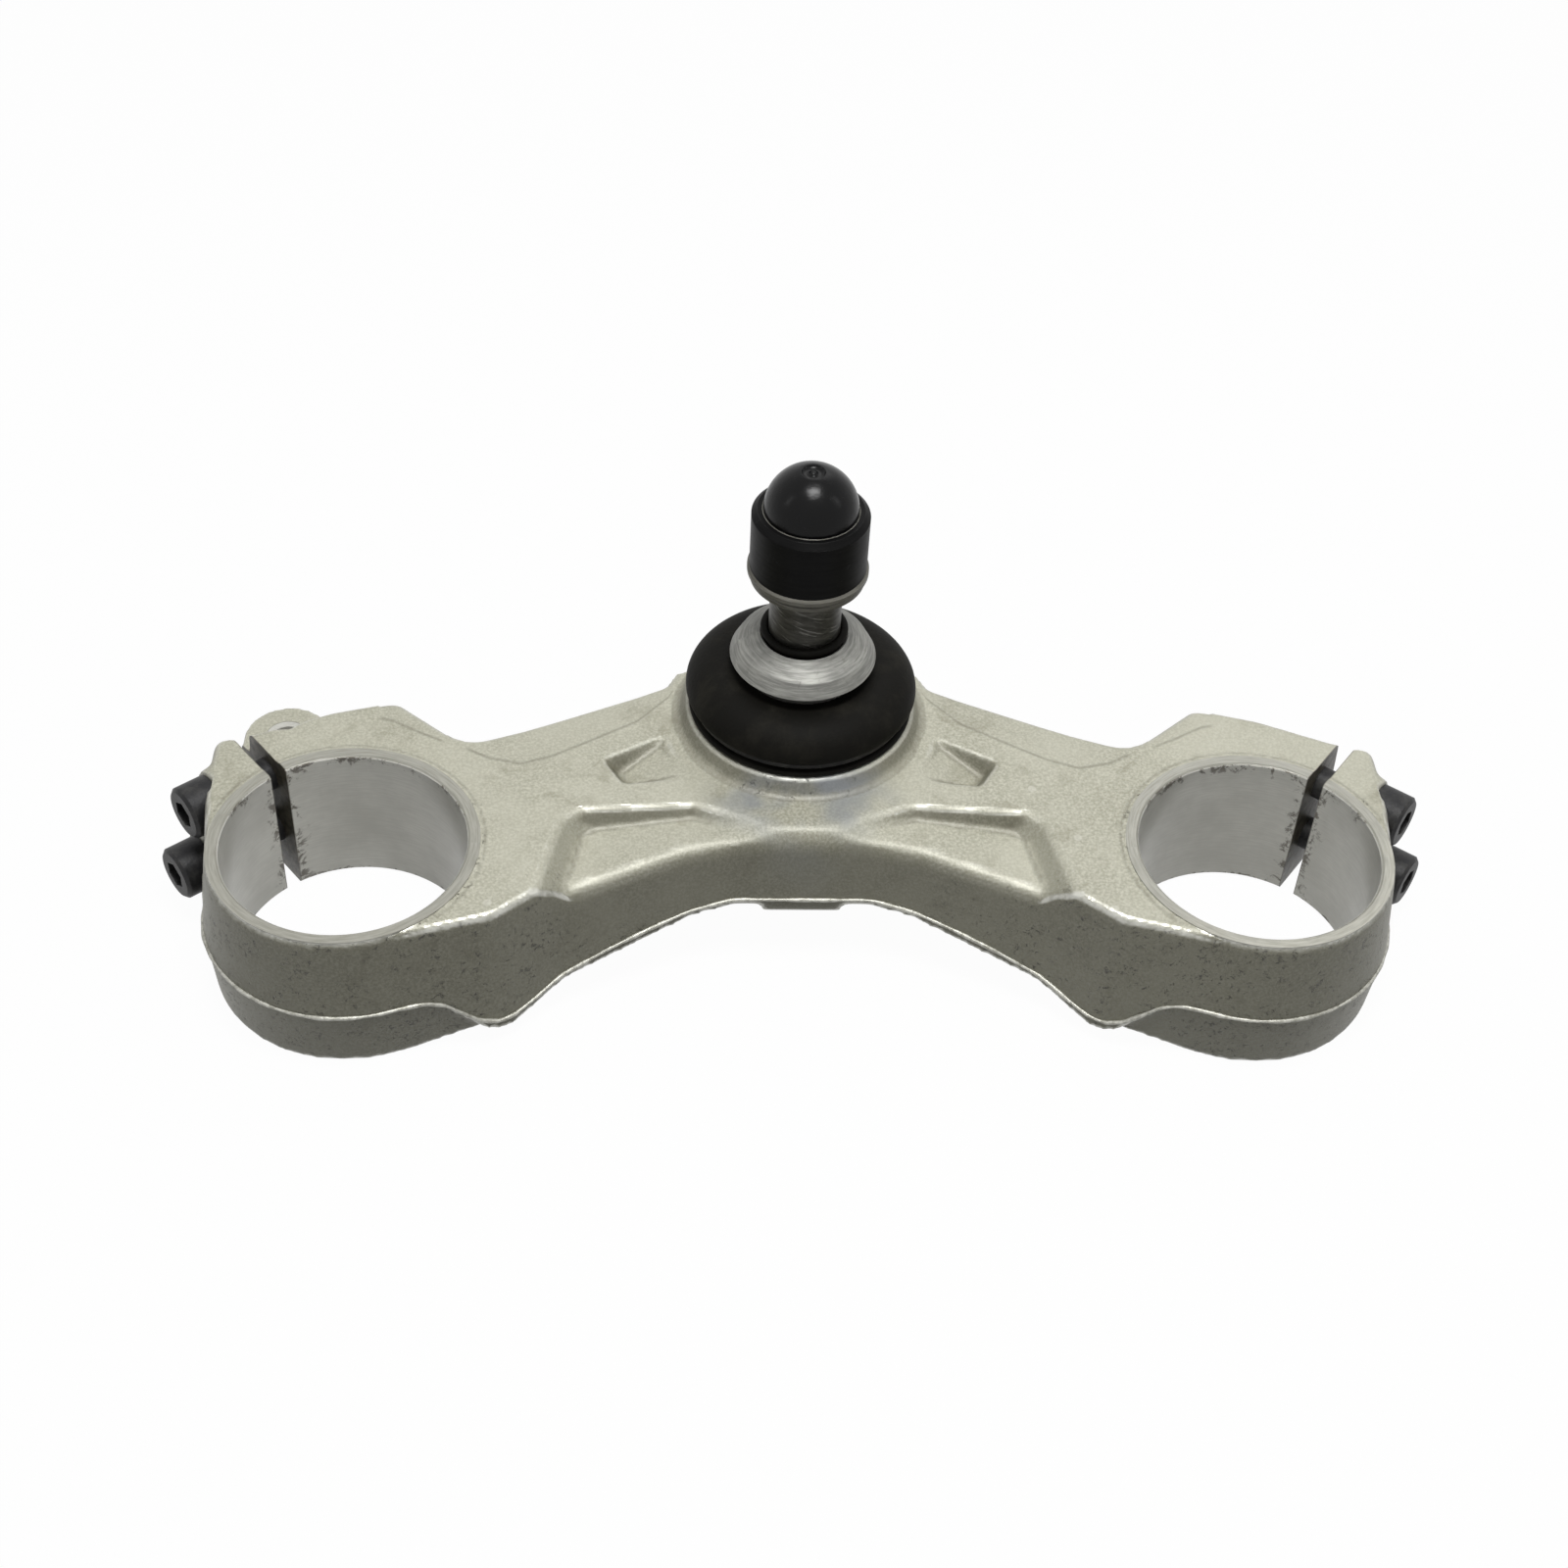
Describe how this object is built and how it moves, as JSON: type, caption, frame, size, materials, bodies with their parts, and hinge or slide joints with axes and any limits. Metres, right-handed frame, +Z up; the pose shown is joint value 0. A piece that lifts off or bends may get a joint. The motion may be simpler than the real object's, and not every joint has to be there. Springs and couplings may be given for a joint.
{
  "type": "motorcycle fork bridge",
  "caption": "Cast lower fork bridge with split tube clamps, pinch bolts and a booted ball joint whose threaded pin stands up from the rear boss.",
  "frame": {"origin": "on the floor under the middle of the bounding box, where the bridge lies on the bottoms of its two clamps", "axes": "+X across the bridge towards the right clamp, +Y to the rear, where the ball joint is, +Z up along the fork bores and the pin"},
  "size_m": [0.303, 0.11, 0.1104],
  "materials": {
    "casting": "blasted casting with machined lands and bores",
    "bolt": "black oxide, worn at the edges",
    "seat": "moulded",
    "plate": "turned",
    "spring_steel": "phosphated",
    "boot": "matt",
    "collar": "turned",
    "stud": "turned",
    "nut": "plated, satin",
    "sleeve": "satin black",
    "dome": "gloss"
  },
  "bodies": {
    "bridge": {"fork_bridge": "casting", "pinch_bolt_right_upper": "bolt", "pinch_bolt_right_lower": "bolt", "pinch_bolt_left_upper": "bolt", "pinch_bolt_left_lower": "bolt", "ball_seat_upper": "seat", "ball_seat_lower": "seat", "closing_plate": "plate", "retaining_ring": "spring_steel", "boot_clip": "spring_steel", "boot": "boot"},
    "collar": {"seal_collar": "collar"},
    "stud": {"ball_stud": "stud", "thrust_washer": "nut", "flange_nut": "nut", "nut_sleeve": "sleeve", "dome_cap": "dome"}
  },
  "joints": [
    {"name": "tilt", "type": "hinge", "parent": "bridge", "child": "collar", "pos_m": [0, 0.0237, 0.027], "axis": [1, 0, 0], "range_deg": [-15, 15], "deforming": ["boot"]},
    {"name": "spin", "type": "hinge", "parent": "collar", "child": "stud", "pos_m": [0, 0.0237, 0.027], "axis": [0, 0, 1], "continuous": true}
  ]
}
